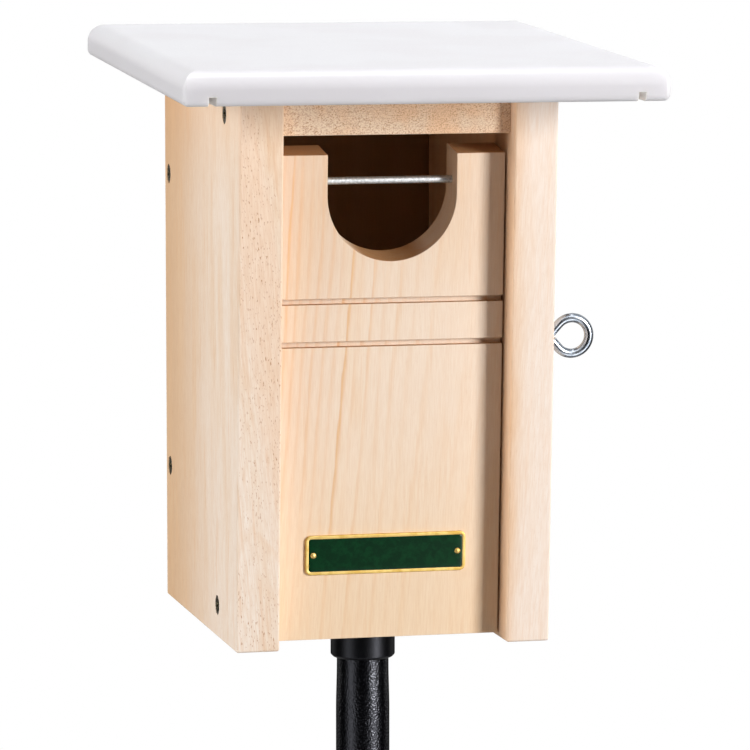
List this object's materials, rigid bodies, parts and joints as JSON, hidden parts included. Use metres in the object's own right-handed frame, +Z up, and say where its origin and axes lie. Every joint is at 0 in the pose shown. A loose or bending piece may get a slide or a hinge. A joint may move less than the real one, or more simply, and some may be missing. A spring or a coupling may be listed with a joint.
{
  "type": "bluebird house",
  "caption": "Wooden bluebird house with a drop-down front door, a U-shaped entrance with a guard rod and a sloping white roof, on a black pole flange and pole section.",
  "frame": {"origin": "centre of the pole section's open lower end", "axes": "+Z up along the pole, -Y towards the front door, +X towards the side with the eye pin"},
  "size_m": [0.209, 0.2346, 0.5652],
  "materials": {
    "roof_plastic": "satin off-white sheet with a fine machined edge",
    "pine_board": "bare planed pine, soft orange-tan grain lines",
    "ceiling_end_grain": "bare pine with darker speckled end grain",
    "bright_zinc": "bright zinc plating",
    "screw_zinc": "dull olive-grey zinc plating",
    "rod_galvanised": "hot-dip galvanised, slightly mottled",
    "plate_brass": "brushed brass",
    "plate_enamel": "dark green enamel, smooth",
    "flange_coat": "satin black powder coat",
    "pole_coat": "black powder coat with an orange-peel surface"
  },
  "bodies": {
    "house": {"roof_panel": "roof_plastic", "roof_screws": "bright_zinc", "ceiling_board": "ceiling_end_grain", "left_side_wall": "pine_board", "right_side_wall": "pine_board", "back_panel": "pine_board", "floor_board": "pine_board", "door_pivot_pins": "bright_zinc", "left_ceiling_screws": "screw_zinc", "right_ceiling_screws": "screw_zinc", "left_back_screws": "screw_zinc", "right_back_screws": "screw_zinc", "left_floor_screw": "screw_zinc", "right_floor_screw": "screw_zinc", "rear_ceiling_screws": "screw_zinc", "rear_floor_screws": "screw_zinc", "pole_flange": "flange_coat", "flange_screws": "flange_coat", "flange_set_screw": "bright_zinc", "pole_section": "pole_coat"},
    "door": {"front_door": "pine_board", "entrance_rod": "rod_galvanised", "name_plate": "plate_brass", "name_plate_enamel": "plate_enamel", "name_plate_pins": "plate_brass"},
    "eye_pin": {"eye_pin": "bright_zinc"}
  },
  "joints": [
    {"name": "door_hinge", "type": "hinge", "parent": "house", "child": "door", "pos_m": [0, -0.03761, 0.31242], "axis": [1, 0, 0], "range_deg": [0, 94]},
    {"name": "eye_pull", "type": "slide", "parent": "house", "child": "eye_pin", "axis": [1, 0, 0], "range_m": [0, 0.018]}
  ]
}
